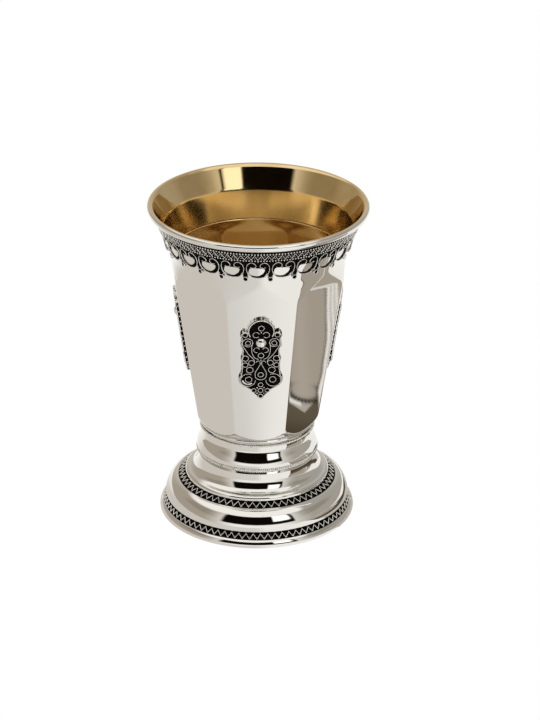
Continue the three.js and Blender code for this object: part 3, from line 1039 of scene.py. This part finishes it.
LENS_MM = 155.43
STAND_R = 0.85  # metres from the cup's axis to the camera
STAND_Z = 0.45013
STAND_TURN = math.radians(2.5)  # how far the camera stands to the left of the front
HEADING = math.radians(2.755)
PITCH = math.radians(25.281)
ROLL = math.radians(0.431)


def add_camera():
    """The photograph's angle: from the front and about 25 degrees above."""
    data = bpy.data.cameras.new("camera")
    data.lens = LENS_MM
    data.sensor_width = 36
    data.clip_end = 20
    camera = bpy.data.objects.new("camera", data)
    bpy.context.scene.collection.objects.link(camera)
    upright = Vector((0, 0, 1))
    ahead = Vector((math.sin(HEADING), math.cos(HEADING), 0))
    forward = ahead * math.cos(PITCH) - upright * math.sin(PITCH)
    up = ahead * math.sin(PITCH) + upright * math.cos(PITCH)
    right = Vector((math.cos(HEADING), -math.sin(HEADING), 0))
    rolled_right = math.cos(ROLL) * right + math.sin(ROLL) * up
    rolled_up = math.cos(ROLL) * up - math.sin(ROLL) * right
    place = Vector((-STAND_R * math.sin(STAND_TURN), -STAND_R * math.cos(STAND_TURN), STAND_Z))
    axes = Matrix((rolled_right, rolled_up, -forward)).transposed()
    camera.matrix_world = Matrix.Translation(place) @ axes.to_4x4()
    bpy.context.scene.camera = camera


add_camera()


# ---- Floor, tent and light ----

TENT_R = 1.2  # metres
CARD_Z = -0.2  # height of the neighbour's card, in millimetres
MIRRORED_FLOOR_Z = -0.4  # height of the floor that the cup mirrors, in millimetres
FLOOR_Z_M = -0.001  # height of the floor that the camera sees, in metres
STAGE_AZIMUTHS = np.arange(-180.0, 180.0)
WARM_WHITE = (1.0, 0.98, 0.94)


def glow(name, attribute=None):
    """A material that only gives light, from a colour attribute if one is named."""
    material = bpy.data.materials.new(name)
    material.use_nodes = True
    nodes, links = material.node_tree.nodes, material.node_tree.links
    nodes.clear()
    emission = nodes.new("ShaderNodeEmission")
    output = nodes.new("ShaderNodeOutputMaterial")
    links.new(emission.outputs["Emission"], output.inputs["Surface"])
    if attribute:
        color = nodes.new("ShaderNodeAttribute")
        color.attribute_name = attribute
        links.new(color.outputs["Color"], emission.inputs["Color"])
    material.cycles.emission_sampling = "NONE"
    return material


def stage_mesh(name, points, faces, material, colors=None):
    mesh = bpy.data.meshes.new(name)
    mesh.from_pydata(points.tolist(), [], faces.tolist())
    mesh.materials.append(material)
    if colors is not None:
        layer = mesh.color_attributes.new("light", "FLOAT_COLOR", "POINT")
        padded = np.hstack([colors, np.ones((len(colors), 1))])
        layer.data.foreach_set("color", padded.ravel())
    mesh.update()
    stand_in = bpy.data.objects.new(name, mesh)
    bpy.context.scene.collection.objects.link(stand_in)
    return stand_in


def mirrored_only(name, points, faces, colors):
    """A part of the stage that the camera doesn't see, but the cup mirrors."""
    card = stage_mesh(name, points.reshape(-1, 3), faces, glow(name + "_light", "light"), colors)
    card.visible_camera = False
    card.visible_shadow = False


def grid_faces(rows, columns, closed=True):
    """Faces between rows of points, joined from the last column to the first if closed."""
    last = columns if closed else columns - 1
    row, column = np.meshgrid(np.arange(rows - 1), np.arange(last), indexing="ij")
    after = (column + 1) % columns
    corners = [
        row * columns + column,
        row * columns + after,
        (row + 1) * columns + after,
        (row + 1) * columns + column,
    ]
    return np.stack(corners, -1).reshape(-1, 4)


def bell(value, centre, width):
    return np.exp(-(((value - centre) / width) ** 2))


def mix(a, b, share):
    """Between two colours, by a share for each point."""
    return np.asarray(a) + (np.asarray(b) - np.asarray(a)) * share[..., None]


# The tent's narrow light: azimuth, half-width, lowest and highest elevation, and strength.
LIGHT = (106, 3.0, 50, 62, 1.4)


def tent_color(azimuth, elevation):
    """Light from the tent by direction, in degrees; azimuth 0 is the camera's, + its right."""
    away = np.abs(azimuth)
    white = np.array([1.06, 1.045, 1.01])

    def between_heights(low, high, soft=3):
        above = smooth_step(elevation, low, low + soft)
        return above * smooth_step(-elevation, -high - soft, -high)

    side = mix((0.44, 0.39, 0.325), (0.43, 0.41, 0.37), smooth_step(azimuth, -20, 20))
    dimmed = smooth_step(away, 48, 60) * smooth_step(-away, -120, -95)
    side = mix(side, (0.27, 0.235, 0.18), dimmed * between_heights(16, 36, 6) * 0.6)
    front = smooth_step(-away, -75, -22)
    low = 38 + 20 * smooth_step(azimuth, 60, 100)
    ceiling = smooth_step(elevation, low, low + 10)
    behind = smooth_step(away, 130, 160) * between_heights(45, 75, 6)
    ceiling = ceiling * (1 - 0.85 * behind)
    back = smooth_step(away, 135, 170) * 0.3
    color = mix(side, white, np.maximum(np.maximum(front, ceiling), back))
    middle, width, bottom, top, strength = LIGHT
    light = bell(azimuth, middle, width) * between_heights(bottom, top)
    color = mix(color, np.array([1.0, 0.98, 0.93]) * strength, light)
    dark = smooth_step(azimuth, -49, -43) * smooth_step(-azimuth, -47, -44)
    color = mix(color, (0.004, 0.003, 0.002), dark * between_heights(8, 42))
    window = smooth_step(azimuth, 17, 20) * smooth_step(-azimuth, -43, -38)
    return mix(color, (1.5, 1.5, 1.47), window * between_heights(20, 41, 4))


def add_tent():
    elevations = np.concatenate([np.linspace(0, 89, 120), [89.9]])
    azimuth, elevation = np.meshgrid(STAGE_AZIMUTHS, elevations)
    turn, rise = np.radians(azimuth - 90), np.radians(elevation)
    points = round_axis(np.cos(rise), turn, np.sin(rise)) * TENT_R
    colors = tent_color(azimuth, elevation).reshape(-1, 3)
    mirrored_only("tent", points, grid_faces(*azimuth.shape), colors)


def floor_color(azimuth):
    """Light from the floor by direction, as the cup mirrors it."""
    right = np.array([1.02, 1.01, 0.985])
    middle = np.array([0.78, 0.765, 0.735])
    left = np.array([0.70, 0.66, 0.61])
    color = mix(right, middle, smooth_step(-azimuth, -9, 5))
    color = mix(color, left, smooth_step(-azimuth, 5, 75) * smooth_step(azimuth, -150, -110))
    return mix(color, right, smooth_step(-azimuth, 110, 150))


NEIGHBOUR_FOOT = (74.3, -2.5)  # the middle of its foot, which a ring of beads goes round
NEIGHBOUR_RING_R = 5.5
NEIGHBOUR_BEADS = 30
NEIGHBOUR_SIDE = 56  # azimuth at which its near side ends, in degrees


def neighbour_edge(x):
    """The side of the neighbouring vessel that runs past the cup's right."""
    return np.interp(x, [40, 75, 82, 104, 126, 190, 500], [1.8, 2.3, 3.6, 6.3, 7.1, 9, 20])


def neighbour_color(x, y):
    """A brownish vessel at the right, seen only in the cup's side.

    It has a dark near part, a bright V-shaped band, a ring of dark beads, a bright strip with
    thin lines beyond its edge, and an outline.
    """
    across, aside = x - NEIGHBOUR_FOOT[0], y - NEIGHBOUR_FOOT[1]
    foot = np.hypot(across, aside)
    color = mix((0.43, 0.385, 0.325), (0.52, 0.47, 0.405), bell(y, -3, 3) * 0.5)

    near_color = mix((0.13, 0.105, 0.07), (0.075, 0.057, 0.036), smooth_step(-x, -62, -48))
    near = smooth_step(-x, -80, -72) * smooth_step(foot, 5.2, 5.8)
    color = mix(color, near_color, near)

    tip = 62.8 + 0.75 * np.maximum(-aside, 0) + 1.9 * np.maximum(aside, 0)
    band = smooth_step(x - tip, -0.3, 0.3) * smooth_step(foot, 5.6, 6.2)
    band = band * smooth_step(-x, -76, -73)
    glint = band * smooth_step(-aside, 0.6, 1.4) * bell(foot, 7.6, 0.9)
    color = mix(mix(color, (0.5, 0.46, 0.40), band), WARM_WHITE, glint)

    beads = 0.5 + 0.5 * np.cos(np.arctan2(aside, across) * NEIGHBOUR_BEADS)
    ring = bell(foot, NEIGHBOUR_RING_R, 1.15) * smooth_step(-x, -79, -75)
    color = mix(color, (0.008, 0.006, 0.004), np.clip(1.3 * ring, 0, 1) * (1 - 0.5 * beads))
    color = mix(color, (0.60, 0.56, 0.50), smooth_step(-x, -47, -41))

    past = y - neighbour_edge(x)
    beyond = smooth_step(-past, -4.4, -3.6) + smooth_step(past, 20, 24)
    strip = smooth_step(past, -0.2, 0.2) * beyond
    far = smooth_step(x, 64, 70)
    color = mix(color, WARM_WHITE, strip * far)
    lines = bell(past, -0.2, 0.3) + bell(past, 1.4, 0.3) * 0.7 + bell(past, 2.8, 0.35) * 0.6
    outline = 0.75 * bell(np.degrees(np.arctan2(x, -y)), NEIGHBOUR_SIDE + 0.8, 0.8)
    return mix(color, (0.10, 0.075, 0.045), np.clip(lines * far + outline, 0, 0.85))


def add_neighbour():
    """A card whose rows follow the neighbour's edge, finest where its outline is sharp."""
    offsets = np.concatenate([
        np.linspace(-400, -96, 40),
        np.linspace(-95, -14, 100),
        np.linspace(-13.7, 5, 110),
        np.linspace(5.5, 45, 60),
    ])
    across = np.concatenate([np.linspace(24, 190, 330), np.linspace(195, 600, 60)])
    x, past = np.meshgrid(across, offsets)
    y = np.maximum(past + neighbour_edge(x), -x / math.tan(math.radians(NEIGHBOUR_SIDE)))
    points = np.stack([x, y, np.full(x.shape, CARD_Z)], -1)
    colors = neighbour_color(x, y).reshape(-1, 3)
    mirrored_only("neighbour", points * MM, grid_faces(*x.shape, closed=False), colors)


def add_floor():
    radii = np.concatenate([np.linspace(2, 160, 120), np.linspace(170, TENT_R / MM, 30)])
    azimuth, radius = np.meshgrid(STAGE_AZIMUTHS, radii)
    turn = np.radians(azimuth - 90)
    points = round_axis(radius, turn, MIRRORED_FLOOR_Z)
    colors = floor_color(azimuth).reshape(-1, 3)
    mirrored_only("mirrored_floor", points * MM, grid_faces(*azimuth.shape), colors)
    corners = np.array([(x, y, FLOOR_Z_M) for x, y in ((-3, -3), (3, -3), (3, 3), (-3, 3))])
    floor = stage_mesh("floor", corners, np.array([[0, 1, 2, 3]]), glow("white_floor"))
    floor.visible_glossy = False
    floor.visible_diffuse = False


def add_world():
    world = bpy.data.worlds.new("white_room")
    world.use_nodes = True
    background = world.node_tree.nodes["Background"]
    background.inputs["Color"].default_value = (1, 1, 1, 1)
    bpy.context.scene.world = world
    bpy.context.scene.view_settings.view_transform = "Standard"


add_tent()
add_floor()
add_neighbour()
add_world()
